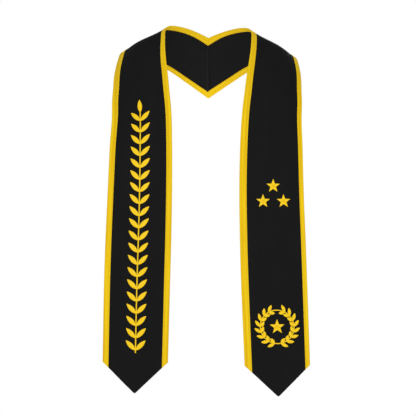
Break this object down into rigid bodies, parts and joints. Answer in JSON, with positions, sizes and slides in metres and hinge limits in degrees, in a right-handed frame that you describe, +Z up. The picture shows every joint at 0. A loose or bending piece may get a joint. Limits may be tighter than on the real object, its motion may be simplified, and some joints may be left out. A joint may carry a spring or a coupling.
{
  "type": "graduation stole",
  "caption": "Long satin stole worn round the neck, with ribbon-bound edges, a mitred back seam, pointed hems and raised laurel, star and wreath embroidery.",
  "frame": {"origin": "at the nape, where the neck edge of the stole crosses the centre back seam", "axes": "+Z up, +X to the wearer's left, +Y to the wearer's back, so that the wearer faces -Y"},
  "size_m": [0.4042, 0.2916, 0.7456],
  "materials": {
    "satin": "satin",
    "lining": "satin",
    "ribbon": "satin",
    "thread": "satin"
  },
  "bodies": {
    "root": {"face_left": "satin", "face_right": "satin", "laurel_branch_1": "thread", "laurel_branch_10": "thread", "laurel_branch_2": "thread", "laurel_branch_3": "thread", "laurel_branch_4": "thread", "laurel_branch_5": "thread", "laurel_branch_6": "thread", "laurel_branch_7": "thread", "laurel_branch_8": "thread", "laurel_branch_9": "thread", "lining_left": "lining", "lining_right": "lining", "neck_trim_left": "ribbon", "neck_trim_right": "ribbon", "outer_trim_left": "ribbon", "outer_trim_right": "ribbon", "star_1": "thread", "star_2": "thread", "star_3": "thread", "wreath": "thread", "wreath_star": "thread"}
  },
  "joints": []
}
